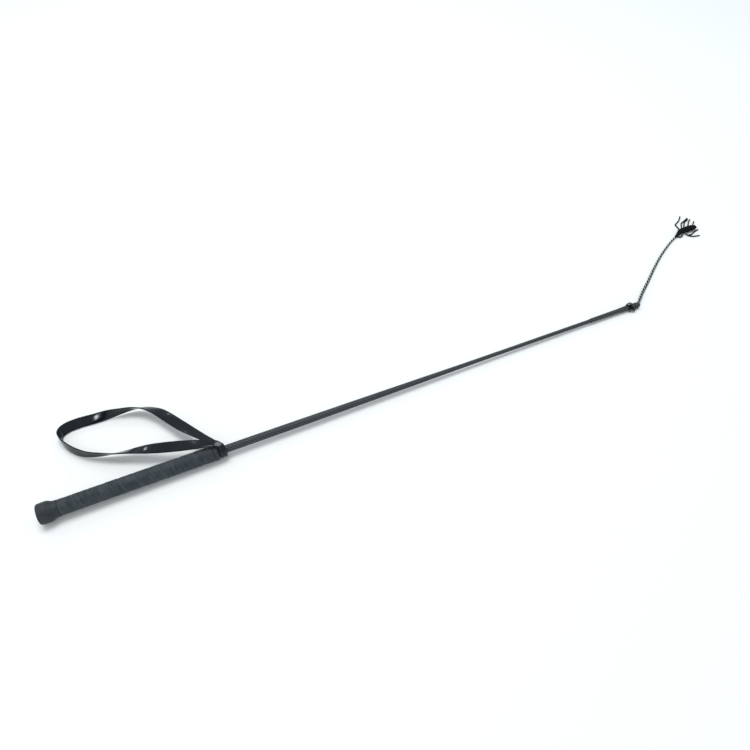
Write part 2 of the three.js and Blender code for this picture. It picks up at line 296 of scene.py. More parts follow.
class Look:
    """A material, built a node at a time."""

    def __init__(self, name, **shader):
        self.material = bpy.data.materials.new(name)
        self.material.use_nodes = True
        self.nodes = self.material.node_tree.nodes
        self.links = self.material.node_tree.links
        self.shader = self.nodes["Principled BSDF"]
        for socket, value in shader.items():
            self.set(self.shader, socket.replace("_", " "), value)

    def set(self, node, socket, value):
        if isinstance(value, bpy.types.NodeSocket):
            self.links.new(value, node.inputs[socket])
        else:
            node.inputs[socket].default_value = value

    def add(self, kind, settings=None, **inputs):
        node = self.nodes.new("ShaderNode" + kind)
        for key, value in (settings or {}).items():
            setattr(node, key, value)
        for socket, value in inputs.items():
            self.set(node, int(socket[1:]) if socket[0] == "i" else socket.replace("_", " "), value)
        return node

    def uv(self, scale_along, scale_around):
        """The piece's own UV map, stretched."""
        place = self.add("TexCoord").outputs["UV"]
        return self.add("Mapping", Vector=place, Scale=(scale_along, scale_around, 1)).outputs["Vector"]

    def solid(self, scale):
        place = self.add("TexCoord").outputs["Object"]
        return self.add("Mapping", Vector=place, Scale=(scale, scale, scale)).outputs["Vector"]

    def noise(self, vector, scale=1.0, detail=3.0, roughness=0.5):
        return self.add("TexNoise", Vector=vector, Scale=scale, Detail=detail, Roughness=roughness).outputs[0]

    def ramp(self, factor, stops):
        """A colour or a grey between (place, value) stops."""
        node = self.add("ValToRGB", Fac=factor)
        elements = node.color_ramp.elements
        while len(elements) < len(stops):
            elements.new(0.5)
        for element, (place, value) in zip(elements, stops):
            element.position = place
            element.color = (*value, 1) if isinstance(value, tuple) else (value, value, value, 1)
        return node.outputs["Color"]

    def bump(self, height, distance, strength=1.0, under=None):
        """Adds a bump, in metres, over any bump made before."""
        node = self.add("Bump", Height=height, Distance=distance, Strength=strength)
        if under is not None:
            self.set(node, "Normal", under)
        return node.outputs["Normal"]

    def mix(self, factor, a, b):
        node = self.add("Mix", {"data_type": "RGBA"}, i0=factor)
        self.set(node, 6, a)
        self.set(node, 7, b)
        return node.outputs[2]

    def attribute(self, name):
        return self.add("Attribute", {"attribute_name": name}).outputs["Fac"]


def grip_leather():
    """Matte calf leather: fine pores, soft slanting creases with painted shade and highlight, faintly worn
    edges.
    """
    look = Look("grip_leather", Specular_IOR_Level=0.3)
    patches = look.noise(look.solid(90), detail=3.0)
    pores = look.add("TexVoronoi", {"feature": "DISTANCE_TO_EDGE"}, Vector=look.uv(900, 900))
    creases = look.noise(look.uv(90, 330), detail=5.0, roughness=0.6)
    # Painted shade and highlight: the colour darkens in the creases' hollows and pales on their crests. The
    # soft patches between the two ramps are the leather's own mottling.
    dark = look.ramp(creases, [(0.35, (0.010, 0.016, 0.021)), (0.62, (0.030, 0.040, 0.048))])
    pale = look.ramp(creases, [(0.4, (0.020, 0.029, 0.036)), (0.65, (0.052, 0.062, 0.070))])
    base = look.mix(look.ramp(patches, [(0.4, 0.0), (0.65, 1.0)]), dark, pale)
    frayed = look.add("Math", {"operation": "MULTIPLY"}, i0=look.attribute("worn"), i1=patches)
    look.set(look.shader, "Base Color", look.mix(frayed.outputs[0], base, (0.060, 0.070, 0.078, 1)))
    look.set(look.shader, "Roughness", look.ramp(creases, [(0.3, 0.5), (0.75, 0.68)]))
    grain = look.bump(pores.outputs["Distance"], 0.0002, 0.5)
    look.set(look.shader, "Normal", look.bump(creases, 0.0012, 0.8, under=grain))
    return look.material


def rubber():
    """Moulded black rubber with a faint orange-peel face, its tone and roughness mottled in soft patches."""
    look = Look("cap_rubber", Specular_IOR_Level=0.35)
    patches = look.noise(look.solid(110), detail=4.0)
    peel = look.noise(look.solid(900), detail=2.0)
    shades = [(0.3, (0.011, 0.017, 0.020)), (0.75, (0.026, 0.034, 0.038))]
    look.set(look.shader, "Base Color", look.ramp(patches, shades))
    look.set(look.shader, "Roughness", look.ramp(patches, [(0.3, 0.5), (0.7, 0.66)]))
    look.set(look.shader, "Normal", look.bump(peel, 0.00012, 0.5))
    return look.material


def braid_thread():
    """Waxed thread: fine filaments along each strand, painted shade where the strands dip under one another.
    """
    look = Look("braid_thread", Specular_IOR_Level=0.4)
    relief = look.attribute("relief")
    family = look.attribute("family")
    one_way = look.noise(look.uv(900, 60), detail=2.0)
    other_way = look.noise(look.uv(60, 900), detail=2.0)
    filaments = look.mix(family, one_way, other_way)
    patches = look.noise(look.solid(60), detail=3.0)
    # Painted shade: the colour follows the relief, near black where the strands dip under one another and
    # paler on their crowns.
    shades = [(0.25, (0.002, 0.003, 0.004)), (0.8, (0.034, 0.042, 0.050)), (1.0, (0.085, 0.098, 0.108))]
    base = look.ramp(relief, shades)
    rubbed = look.ramp(patches, [(0.4, 0.0), (0.8, 0.3)])
    look.set(look.shader, "Base Color", look.mix(rubbed, base, (0.020, 0.026, 0.032, 1)))
    look.set(look.shader, "Roughness", look.ramp(patches, [(0.3, 0.42), (0.7, 0.6)]))
    look.set(look.shader, "Normal", look.bump(filaments, 0.0002, 0.5))
    return look.material


def patent():
    """Glossy black patent: a smooth coat with faint ripples along the strap."""
    look = Look("patent_leather", Specular_IOR_Level=0.27)
    ripples = look.noise(look.uv(40, 3), detail=2.0)
    patches = look.noise(look.solid(70), detail=3.0)
    scuffs = look.noise(look.uv(300, 30), detail=3.0)
    shades = [(0.3, (0.0033, 0.0060, 0.0092)), (0.7, (0.0065, 0.0105, 0.0155))]
    look.set(look.shader, "Base Color", look.ramp(patches, shades))
    look.set(look.shader, "Roughness", look.ramp(scuffs, [(0.35, 0.11), (0.7, 0.16)]))
    look.set(look.shader, "Normal", look.bump(ripples, 0.0002, 0.1))
    return look.material


def cord_yarn():
    """Soft black twisted yarn, with a pale painted sheen in the grooves between its plies."""
    look = Look("cord_yarn", Specular_IOR_Level=0.15)
    fibres = look.noise(look.uv(500, 40), detail=3.0)
    patches = look.noise(look.solid(300), detail=3.0)
    shades = look.ramp(patches, [(0.3, (0.0025, 0.0035, 0.0040)), (0.75, (0.0080, 0.0095, 0.0105))])
    # Painted highlight: the grooves between the plies are mixed towards pale grey, standing in for sheen on
    # the yarns' lit flanks.
    painted_sheen = look.ramp(look.attribute("groove"), [(0.4, 0.0), (0.85, 1.0)])
    look.set(look.shader, "Base Color", look.mix(painted_sheen, shades, (0.42, 0.46, 0.46, 1)))
    look.set(look.shader, "Roughness", look.ramp(fibres, [(0.3, 0.6), (0.7, 0.8)]))
    look.set(look.shader, "Normal", look.bump(fibres, 0.0003, 0.7))
    return look.material


def inner_plastic(name, dark, light, roughness):
    """Plain moulded plastic for the hidden pieces, slightly mottled."""
    look = Look(name)
    patches = look.noise(look.solid(90), detail=4.0)
    fibres = look.noise(look.solid(700), detail=2.0)
    look.set(look.shader, "Base Color", look.ramp(patches, [(0.3, dark), (0.7, light)]))
    look.set(look.shader, "Roughness", look.ramp(fibres, [(0.3, roughness), (0.7, roughness + 0.12)]))
    look.set(look.shader, "Normal", look.bump(fibres, 0.0001, 0.3))
    return look.material


LEATHER = grip_leather()
RUBBER = rubber()
BRAID = braid_thread()
PATENT = patent()
CORD = cord_yarn()

# ---- camera, light and floor --------------------------------------------

EYE = table(192.4, -451.8, 640.0)
LOOK_DOWN = math.radians(49.945)
LOOK_ALONG = Vector((0.41457, 0.91002, 0)).normalized()
LENS = 31.2
SENSOR_WIDTH = 36.0
WORLD_COLOUR = (0.93, 0.98, 1.0, 1)
WORLD_STRENGTH = 0.72
# Each light's name, place, the point it looks at, its size in metres and its power in watts. The two low
# ones make the highlights on the strap.
LIGHTS = [
    ("key_light", (-0.05, 0.75, 3.0), (0.0, 0.0, 0.0), 1.4, 50),
    ("low_back_light", (-0.56, 0.95, 0.65), (-0.28, -0.02, 0.0), 0.12, 0.9),
    ("low_front_light", (-0.68, -1.07, 0.18), (-0.33, 0.06, 0.0), 0.08, 1.0),
]
FLOOR_HALF_SIZE = 4.0
FLOOR_LEVEL = -0.0002  # just below what lies on it, so that the two never share a plane


def camera():
    data = bpy.data.cameras.new("camera")
    data.lens = LENS
    data.sensor_width = SENSOR_WIDTH
    data.clip_start = 0.01
    made = bpy.data.objects.new("camera", data)
    bpy.context.scene.collection.objects.link(made)
    ahead = LOOK_ALONG * math.cos(LOOK_DOWN) - Vector((0, 0, math.sin(LOOK_DOWN)))
    made.location = EYE
    made.rotation_euler = ahead.to_track_quat("-Z", "Y").to_euler()
    bpy.context.scene.camera = made


def soft_box(name, place, target, size, power):
    data = bpy.data.lights.new(name, "AREA")
    data.shape = "SQUARE"
    data.size = size
    data.energy = power
    data.color = (1.0, 1.0, 1.0)
    made = bpy.data.objects.new(name, data)
    bpy.context.scene.collection.objects.link(made)
    made.location = place
    made.rotation_euler = (Vector(target) - Vector(place)).to_track_quat("-Z", "Y").to_euler()


def studio():
    world = bpy.data.worlds.new("studio")
    bpy.context.scene.world = world
    world.use_nodes = True
    background = world.node_tree.nodes["Background"]
    background.inputs["Color"].default_value = WORLD_COLOUR
    background.inputs["Strength"].default_value = WORLD_STRENGTH
    for light in LIGHTS:
        soft_box(*light)
    bpy.context.scene.view_settings.view_transform = "Standard"


def floor():
    mesh = bpy.data.meshes.new("floor")
    half = FLOOR_HALF_SIZE
    outline = [(-half, -half), (half, -half), (half, half), (-half, half)]
    mesh.from_pydata([(x, y, FLOOR_LEVEL) for x, y in outline], [], [(0, 1, 2, 3)])
    made = bpy.data.objects.new("floor", mesh)
    bpy.context.scene.collection.objects.link(made)
    look = Look("floor", Base_Color=(0.88, 0.90, 0.90, 1), Roughness=0.8, Specular_IOR_Level=0.2)
    made.data.materials.append(look.material)


camera()
studio()
floor()

# ---- the lash and its tassel --------------------------------------------

LASH_ROUTE = [
    (802.0, 0.0, 4.0),
    (806.0, 1.3, 4.5),
    (810.2, 4.4, 4.5),
    (815.2, 8.2, 4.2),
    (820.6, 12.3, 3.7),
    (830.5, 19.6, 2.7),
    (841.2, 26.8, 2.0),
    (853.0, 34.8, 1.9),
    (866.0, 44.1, 1.85),
    (879.0, 53.2, 1.8),
    (892.0, 62.0, 1.75),
    (905.0, 70.3, 1.7),
    (918.0, 78.0, 1.6),
    (931.0, 85.2, 1.6),
    (943.0, 91.4, 1.6),
    (951.0, 95.0, 1.7),
    (957.0, 97.4, 2.0),
    (959.8, 98.4, 2.3),
]
LASH_PITCH = -13.4  # the twist is left-handed
LASH_RADII = ([0, 0.08, 0.3, 1], [1.6, 2.1, 2.0, 1.4])  # at these shares of its length
TASSEL_HEAD = (957.8, 97.7, 2.45)
TASSEL_HEAD_TURN = 0.36  # its direction on the table, in radians
TASSEL_MIDDLE = (985.3, 104.0, 3.95)
TASSEL_TURN = 0.05
TASSEL_HALF_SIZE = (20.3, 4.9, 3.8)
TASSEL_STRANDS = 64
# How far along the bunch a strand is, as a share of its length, and how thick the bunch is there.
TASSEL_SWELL = [(0.1, 0.7), (0.25, 0.95), (0.4, 1.0), (0.6, 1.05), (0.8, 0.95), (1.0, 0.78)]
STRAND_RADIUS = 1.05
STRAND_PITCH = 4.2


def lash():
    """Two yarns twisted together, a little thinner towards the tassel."""
    line = evenly(smooth([table(*point) for point in LASH_ROUTE]), 0.33 * MM)
    run = lengths(line)
    radii = np.interp(run / run[-1], *LASH_RADII) * MM
    rings, groove = cord_rings(line, round_ends(radii, run, 1 * MM), 2, LASH_PITCH * MM, 32)
    # The full groove depth goes to the yarn's painted highlight, pale in the grooves between the two yarns.
    made = skin("twisted_lash", rings, CORD, along=run, attributes={"groove": groove})
    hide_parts("lash")
    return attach(made, "lash"), line


def tassel_binding():
    """Turns of yarn wound tightly round the tassel's head."""
    turns = 3.6
    count = 120
    spin = np.linspace(0, turns * 2 * math.pi, count)
    along = np.linspace(0.9, 4.4, count)
    reach = np.interp(along, [0.9, 1.8, 4.4], [1.15, 1.55, 1.5])
    spots = np.stack([along, reach * np.cos(spin), reach * np.sin(spin)], axis=1)
    winding = cord("tassel_winding", tassel_head(spots), 0.75, CORD, "cord", pitch=3.0, sides=18, spacing=0.3)
    angles = np.arange(20) * 2 * math.pi / 20
    plug = []
    for x, radius in [(0.2, 0.3), (0.8, 1.0), (2.0, 1.6), (4.4, 1.7), (5.2, 1.2), (5.3, 0.3)]:
        plug.append([(x, radius * math.cos(angle), radius * math.sin(angle)) for angle in angles])
    filling = skin("tassel_filling", tassel_head(np.array(plug)), CORD)
    made = joined("tassel_head_turns", [winding, filling])
    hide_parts("tassel_binding")
    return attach(made, "tassel")


def tassel_head(spots):
    """Points measured from the tassel's head along its own direction, in metres."""
    cos, sin = math.cos(TASSEL_HEAD_TURN), math.sin(TASSEL_HEAD_TURN)
    x, y, z = (spots[..., k] for k in range(3))
    turned = np.stack([x * cos - y * sin, x * sin + y * cos, z], axis=-1)
    return (turned + np.array(TASSEL_HEAD) + np.array([-HALF_LENGTH, ROD_Y, 0])) * MM


def bunch_strand(i):
    """One strand of the bunch. Steps of the golden angle spread the strands evenly over its section."""
    golden = math.pi * (3 - math.sqrt(5))
    share = math.sqrt((i + 0.5) / TASSEL_STRANDS)
    side = share * math.cos(i * golden)
    height = share * math.sin(i * golden)
    reach = 0.88 - 0.05 * side - 0.03 * math.sin(7.3 * i + 1.0)  # its end, as a share of the bunch's length
    cos, sin = math.cos(TASSEL_TURN), math.sin(TASSEL_TURN)
    x, y, z = TASSEL_MIDDLE
    points = [tassel_head(np.array([3.6, side, height]))]
    for step, swell in TASSEL_SWELL:
        along = (-1 + 2 * step * reach) * TASSEL_HALF_SIZE[0] + 3.0 * (1 - step)
        sway = 0.35 * math.sin(2.1 * i + 9 * step)
        across = side * (TASSEL_HALF_SIZE[1] - 0.4) * swell + sway
        up = z + height * (TASSEL_HALF_SIZE[2] - STRAND_RADIUS) * swell
        up = max(up, STRAND_RADIUS + 0.1)
        points.append(table(x + along * cos - across * sin, y + along * sin + across * cos, up))
    return cord(f"strand{i}", points, STRAND_RADIUS, CORD, "cord", 2, STRAND_PITCH, 12, 0.8)


def tassel_core():
    """The strands that lie together."""
    made = joined("tassel_bunch", [bunch_strand(i) for i in range(TASSEL_STRANDS)])
    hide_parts("tassel_core")
    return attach(made, "tassel")


# Each stray strand from inside the bunch to its tip: the first point has a height, and the rest lie on the
# floor.
STRAND_ROUTES = {
    "a": [
        (973.0, 105.2, 2.4),
        (978.3, 113.1),
        (980.1, 123.4),
        (991.2, 128.4),
        (997.0, 132.6),
        (1002.6, 137.8),
    ],
    "b": [
        (979.0, 106.2, 3.0),
        (983.9, 112.9),
        (991.4, 122.3),
        (999.0, 124.8),
        (1006.1, 127.6),
        (1009.8, 129.2),
    ],
    "c": [(984.0, 106.2, 3.0), (989.4, 113.9), (998.4, 122.7), (1004.8, 124.9), (1009.4, 127.1)],
    "d": [(990.0, 106.2, 3.0), (998.0, 114.0), (1005.0, 120.6), (1011.6, 125.0)],
    "e": [(998.0, 106.2, 3.0), (1005.5, 111.4), (1010.4, 115.4), (1013.8, 118.2)],
    "f": [(978.0, 98.0, 2.0), (980.8, 92.2), (988.1, 94.0), (997.0, 97.4), (1005.6, 99.2)],
    "g": [(983.0, 95.0, 2.0), (981.7, 91.2), (985.6, 88.6), (990.6, 87.6), (997.0, 86.0)],
    "h": [(961.0, 99.0, 2.4), (963.8, 96.8), (966.0, 94.9), (969.4, 95.8), (974.0, 98.4)],
}


def tassel_strands():
    """The strands that stray from the bunch, each from inside it to its tip on the floor."""
    made = []
    on_floor = STRAND_RADIUS + 0.05
    twist = (2, STRAND_PITCH, 16, 0.5)
    for letter, route in STRAND_ROUTES.items():
        points = [table(*route[0])] + [table(x, y, on_floor) for x, y in route[1:]]
        strand = cord(f"stray_strand_{letter}", points, STRAND_RADIUS, CORD, "cord", *twist, bend=kinked)
        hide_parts(f"tassel_strand_{letter}")
        made.append(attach(strand, "tassel"))
    return made


lash_piece, lash_line = lash()
tassel_pieces = [tassel_binding(), tassel_core(), *tassel_strands()]

# ---- the grip -----------------------------------------------------------

GRIP_SIDES = 96  # points round a ring, and the tape's rings in one turn
TAPE_BACK_RADIUS = 8.8  # the tape's outer face at its back edge
TAPE_RISE = 0.35  # how far the face rises where it comes out from under the turn behind
TAPE_EDGE = 0.25  # how far the front edge is rounded down
TAPE_INNER_RADIUS = 7.65  # the tape's inner face at its back edge
TAPE_CLIMB = 1.0  # and how far that face climbs to the front edge
TAPE_GAP = 0.2  # between the tape and the pieces before and behind it
TAPE_REACH = 0.3  # how much of its first and its last turn lies between those pieces


def butt_cap():
    """The flared cap, with a shallow groove before its taper and a socket for the handle core."""
    face = [(CAP_FACE + 0.5, 0.02), (CAP_FACE + 0.5, 6.2), (CAP_FACE + 0.3, 6.9), (CAP_FACE, 7.5)]
    rim = [(CAP_FACE, 9.9), (CAP_FACE + 0.3, 10.8), (CAP_FACE + 1.2, 11.5), (CAP_FACE + 3.0, 11.8)]
    flank = [(8.0, 11.85), (13.0, 11.85), (13.8, 11.75), (14.1, 11.4), (14.6, 11.55)]
    taper = [(16.2, 11.0), (17.8, 10.2), (19.6, 9.6), (21.8, 9.35), (23.4, 9.3), (CAP_END, 8.9)]
    outer = face + rounded(rim + flank + taper)
    inside = [(CAP_END, SOCKET_RADIUS), (CAP_SOCKET_FLOOR, SOCKET_RADIUS), (CAP_SOCKET_FLOOR, 0.02)]

    def dents(along, angles):
        spots = np.zeros(np.broadcast(along, angles).shape)
        for ring, point in np.ndindex(spots.shape):
            x, a = along[ring, 0], angles[0, point]
            if CAP_FACE + 1 < x < CAP_END - 1:
                spots[ring, point] = 0.10 * noise.noise(Vector((x * 0.22, 2 * math.cos(a), 2 * math.sin(a))))
        return spots

    rings = np.concatenate([lathe_rings(outer, GRIP_SIDES, dents), lathe_rings(inside, GRIP_SIDES)])
    made = skin("rubber_butt_cap", rings, RUBBER)
    made.data.set_sharp_from_angle(angle=math.radians(50))
    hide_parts("butt_cap")
    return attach(made, "crop")


def tape_face(x, share, angle):
    """The radius of the tape's outer face at a share of its width, with its lap, its edge and its dents."""
    rise = min(1.0, share / 0.3)
    edge = max(0.0, (share - 0.95) / 0.05)
    spot = Vector((x * 0.16, 2.2 * math.cos(angle), 2.2 * math.sin(angle)))
    radius = TAPE_BACK_RADIUS + TAPE_RISE * rise * rise * (3 - 2 * rise)
    radius -= TAPE_EDGE * (1 - math.sqrt(max(0.0, 1 - edge**2)))
    return radius + (0.2 * noise.noise(spot) + 0.08 * noise.noise(spot * 3))


def grip_wrap():
    """One leather tape wound in a spiral; each turn's front edge lies over the next turn's back edge."""
    start = CAP_END + TAPE_GAP
    end = BAND_START - TAPE_GAP
    first = start - TAPE_WIDTH + TAPE_REACH
    turns = (end - TAPE_REACH - first) / TAPE_PITCH
    outside = np.concatenate([np.linspace(0, 0.93, 24), [0.95, 0.97, 0.985, 0.995, 1.0]])
    inside = np.linspace(1, 0, 6)
    turn = np.linspace(0, turns, round(turns * GRIP_SIDES))
    rings = []
    worn = []
    for t in turn:
        angle = -2 * math.pi * t
        ring = []
        for face, shares in (("outside", outside), ("inside", inside)):
            for share in shares:
                x = first + TAPE_PITCH * t + TAPE_WIDTH * share
                radius = TAPE_INNER_RADIUS + TAPE_CLIMB * share
                if face == "outside":
                    radius = max(radius, tape_face(x, share, angle))
                ring.append((min(max(x, start), end), angle, radius))
                worn.append(max(0.0, 1 - abs(share - 0.96) / 0.05) if face == "outside" else 0.0)
        rings.append(ring)
    rings = np.array(rings)
    made = skin(
        "leather_tape",
        around_rod(rings[..., 0], -rings[..., 1], rings[..., 2]),
        LEATHER,
        along=turn * 2 * math.pi * GRIP_RADIUS * MM,
        around=np.concatenate([outside, inside]) * TAPE_WIDTH * MM,
        attributes={"worn": np.array(worn)},
    )
    made.data.set_sharp_from_angle(angle=math.radians(60))
    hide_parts("grip_wrap")
    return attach(made, "crop")


def grip_front_band():
    """The narrow band that closes the tape's front end."""
    outside = rounded(
        [(BAND_START, 8.5), (BAND_START + 0.3, 9.1), (BAND_START + 1.2, 9.25)]
        + [(GRIP_END - 1.6, 9.25), (GRIP_END - 0.6, 9.0), (GRIP_END - 0.1, 8.4), (GRIP_END, 7.9)]
    )
    bore = [(GRIP_END, SOCKET_RADIUS), (BAND_START, SOCKET_RADIUS)]

    def creases(along, angles):
        return 0.05 * np.sin(9 * angles + 0.8 * along) * np.sin(4 * angles - along)

    rings = np.concatenate([lathe_rings(outside, GRIP_SIDES, creases), lathe_rings(bore, GRIP_SIDES)])
    made = skin(
        "leather_front_band",
        rings,
        LEATHER,
        closed=True,
        along=lengths(rings.mean(axis=1)),
        around=np.arange(GRIP_SIDES) * 2 * math.pi * GRIP_RADIUS * MM / GRIP_SIDES,
    )
    made.data.set_sharp_from_angle(angle=math.radians(50))
    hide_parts("grip_front_band")
    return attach(made, "crop")


butt_cap()
grip_wrap()
grip_front_band()

# ---- the shaft ----------------------------------------------------------

# The cover's and the whipping's outer radius, as points of along and radius.
COVER_PROFILE = [
    (COVER_START, 4.75),
    (230, 4.75),
    (300, 4.5),
    (390, 3.95),
    (465, 3.35),
    (520, 2.85),
    (580, 2.65),
    (WHIPPING_START, 2.6),
]
WHIPPING_PROFILE = [
    (WHIPPING_START, 2.5),
    (723.0, 2.9),
    (725.0, 3.15),
    (768.0, 3.3),
    (776.0, 3.6),
    (784.5, 3.85),
    (WHIPPING_END, 3.4),
]
STRANDS_EACH_WAY = 8
BRAID_LAY = math.radians(38)
BRAID_DEPTH = 0.09  # as a share of the radius
WHIPPING_CORDS = 5
WHIPPING_LAY = 5.2  # from one cord to the next along the rod
WHIPPING_GROOVE = 0.7


def shaft_cover():
    """A diamond braid: its strands wind both ways and pass over and under one another in turn."""
    end = WHIPPING_START - 0.3
    fine = np.linspace(COVER_START, end, 4000)
    radius = np.interp(fine, *np.array(COVER_PROFILE).T)
    crossing = 2 * math.pi * radius / STRANDS_EACH_WAY / math.tan(BRAID_LAY)
    phase = np.concatenate([[0], np.cumsum(np.diff(fine) / crossing[1:])])
    steps_per_crossing = 6
    steps = np.linspace(0, phase[-1], round(phase[-1] * steps_per_crossing))
    along = np.interp(steps, phase, fine)
    sides = 10 * STRANDS_EACH_WAY
    share = np.arange(sides) / sides
    one = STRANDS_EACH_WAY * share[None, :] + steps[:, None]
    other = STRANDS_EACH_WAY * share[None, :] - steps[:, None]
    over = (np.floor(one) + np.floor(other)) % 2 == 0
    across = np.where(over, one % 1, other % 1)
    lengthwise = np.where(over, other % 1, one % 1)
    relief = (1 - (2 * across - 1) ** 4) * (0.3 + 0.7 * np.sin(math.pi * lengthwise))
    radii = np.interp(along, *np.array(COVER_PROFILE).T)
    surface = radii[:, None] * (1 - BRAID_DEPTH * (1 - relief))
    outer = around_rod(along[:, None] + 0 * surface, 2 * math.pi * share[None, :] + 0 * surface, surface)
    bore = [(x, r - COVER_WALL) for x, r in reversed([*COVER_PROFILE[:-1], (end, 2.6)])]
    rings = np.concatenate([outer, lathe_rings(bore, sides)])
    inner = np.zeros((len(bore), sides))
    # The relief also drives the braid's painted shade where the strands dip under one another.
    made = skin(
        "braided_cover",
        rings,
        BRAID,
        closed=True,
        along=np.concatenate([steps / STRANDS_EACH_WAY, np.full(len(bore), steps[-1] / STRANDS_EACH_WAY)]),
        attributes={
            "relief": np.concatenate([relief, inner]),
            "family": np.concatenate([over.astype(float), inner]),
        },
    )
    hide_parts("shaft_cover")
    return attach(made, "crop")


def tip_whipping():
    """Cords side by side, wound round the tip at a slant."""
    along = np.arange(WHIPPING_START, WHIPPING_END + 0.01, 0.25)
    radii = np.interp(along, *np.array(WHIPPING_PROFILE).T)
    pitch = WHIPPING_LAY * WHIPPING_CORDS
    sides = 90
    share = np.arange(sides) / sides
    phase = (WHIPPING_CORDS * (share[None, :] - along[:, None] / pitch)) % 1
    relief = np.sqrt(np.clip(1 - (2 * phase - 1) ** 2, 0, 1))
    surface = radii[:, None] - WHIPPING_GROOVE * (1 - relief)
    outer = around_rod(along[:, None] + 0 * surface, 2 * math.pi * share[None, :] + 0 * surface, surface)
    bore = lathe_rings([(WHIPPING_END, WHIPPING_BORE), (WHIPPING_START, WHIPPING_BORE)], sides)
    inner = np.zeros((2, sides))
    mapped = along * MM * 30
    # The sharpened relief drives painted shade in the grooves between the cords and paler crowns.
    made = skin(
        "whipped_tip",
        np.concatenate([outer, bore]),
        BRAID,
        closed=True,
        along=np.concatenate([mapped, mapped[-1:], mapped[-1:]]),
        attributes={
            "relief": np.concatenate([relief**4, inner]),
            "family": np.concatenate([relief * 0, inner]),
        },
    )
    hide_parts("tip_whipping")
    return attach(made, "crop")


# The two bights of the knot, in the rod frame: the one behind the knot and the one on its near side.
UPPER_BIGHT = [
    (785.6, 2.4, 1.8),
    (784.8, 1.8, 4.6),
    (785.4, 1.2, 6.8),
    (787.4, 0.6, 8.0),
    (789.6, 0.2, 7.2),
    (791.2, -0.4, 5.4),
    (792.4, -2.2, 4.3),
    (793.6, -4.2, 2.6),
    (794.4, -5.0, 0.2),
    (794.4, -3.8, -2.4),
]
SIDE_BIGHT = [
    (785.4, -2.4, -0.6),
    (786.2, -4.2, -1.2),
    (787.6, -5.2, -1.4),
    (789.0, -4.7, -1.0),
    (789.8, -5.5, -1.2),
    (791.2, -7.0, -1.4),
    (793.2, -7.2, -1.2),
    (794.8, -5.8, -0.8),
    (795.6, -3.8, -0.4),
]
BIGHT_RADIUS = 1.2
KNOT_CORD_RADIUS = 1.25
KNOT_START = 795.0  # where the winding begins and ends along the rod
KNOT_END = 804.8


def tip_knot():
    """Tight turns of the lash's own cord, closed over the end of the rod."""
    turns = 3.6
    spin = np.linspace(0, turns * 2 * math.pi, 100)
    along = np.linspace(KNOT_START, KNOT_END, 100)
    reach = np.interp(along, [KNOT_START, 801.6, 803.6, KNOT_END], [3.1, 3.2, 2.7, 1.4])
    points = around_rod(along + np.cos(spin), spin, reach)
    points[:, 1] -= np.interp(along, [KNOT_START, KNOT_START + 3], [0, 1.2]) * MM
    # Its grooves are painted pale at full strength as a highlight.
    winding = cord("knot_winding", points, KNOT_CORD_RADIUS, CORD, "cord", spacing=0.35, painted_sheen=1.0)
    body = [(786.3, 0.3), (786.4, 3.3), (789.0, 3.6), (796.0, 3.5), (801.5, 3.2), (804.2, 2.0), (805.2, 0.3)]
    filling = skin("knot_filling", lathe_rings(rounded(body), 40), CORD)
    made = joined("lash_knot", [winding, filling])
    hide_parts("tip_knot")
    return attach(made, "crop")


def knot_loops():
    """The two bights that stand out of the knot."""
    bights = (("upper_bight", "knot_loop_upper", UPPER_BIGHT), ("side_bight", "knot_loop_side", SIDE_BIGHT))
    for name, node, route in bights:
        points = [rod(*point) for point in route]
        # Their grooves are painted pale at full strength as a highlight.
        made = cord(name, points, BIGHT_RADIUS, CORD, "cord", spacing=0.3, painted_sheen=1.0)
        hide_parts(node)
        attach(made, "crop")


shaft_cover()
tip_whipping()
tip_knot()
knot_loops()

# ---- the wrist strap ----------------------------------------------------

# The loop from its near leg round to its far leg: x, y and z in the table frame, and the strap's lean in
# degrees. At 0 it stands on its edge, at 90 it lies flat with its inner face up, and at -90 with its outer
# face up.
STRAP_ROUTE = [
    (190.4, 6.9, 22.8, 90),
    (177.0, 12.1, 22.2, 97),
    (163.0, 17.7, 20.8, 103),
    (142.8, 26.3, 18.0, 104),
    (128.6, 32.8, 15.5, 90),
    (114.4, 38.8, 13.0, 68),
    (102.2, 43.1, 11.3, 50),
    (91.0, 47.1, 9.8, 38),
    (76.0, 53.5, 8.2, 18),
    (62.2, 60.6, 7.3, 4),
    (51.0, 69.6, 6.9, -9),
    (41.5, 82.2, 6.8, -8),
    (36.2, 94.5, 6.8, 2),
    (36.6, 104.4, 6.5, 18),
    (44.2, 110.4, 5.9, 36),
    (57.0, 112.2, 5.7, 38),
    (77.6, 110.6, 6.3, 30),
    (92.0, 109.6, 7.0, 20),
    (107.3, 107.7, 8.0, -7),
    (122.7, 104.5, 9.3, -27),
    (134.6, 98.6, 10.8, -46),
    (143.5, 90.8, 12.0, -62),
    (150.3, 82.4, 13.1, -80),
    (158.7, 68.4, 14.6, -98),
    (169.8, 48.9, 16.8, -100),
    (181.3, 30.7, 19.0, -82),
    (190.8, 16.6, 20.2, -74),
]
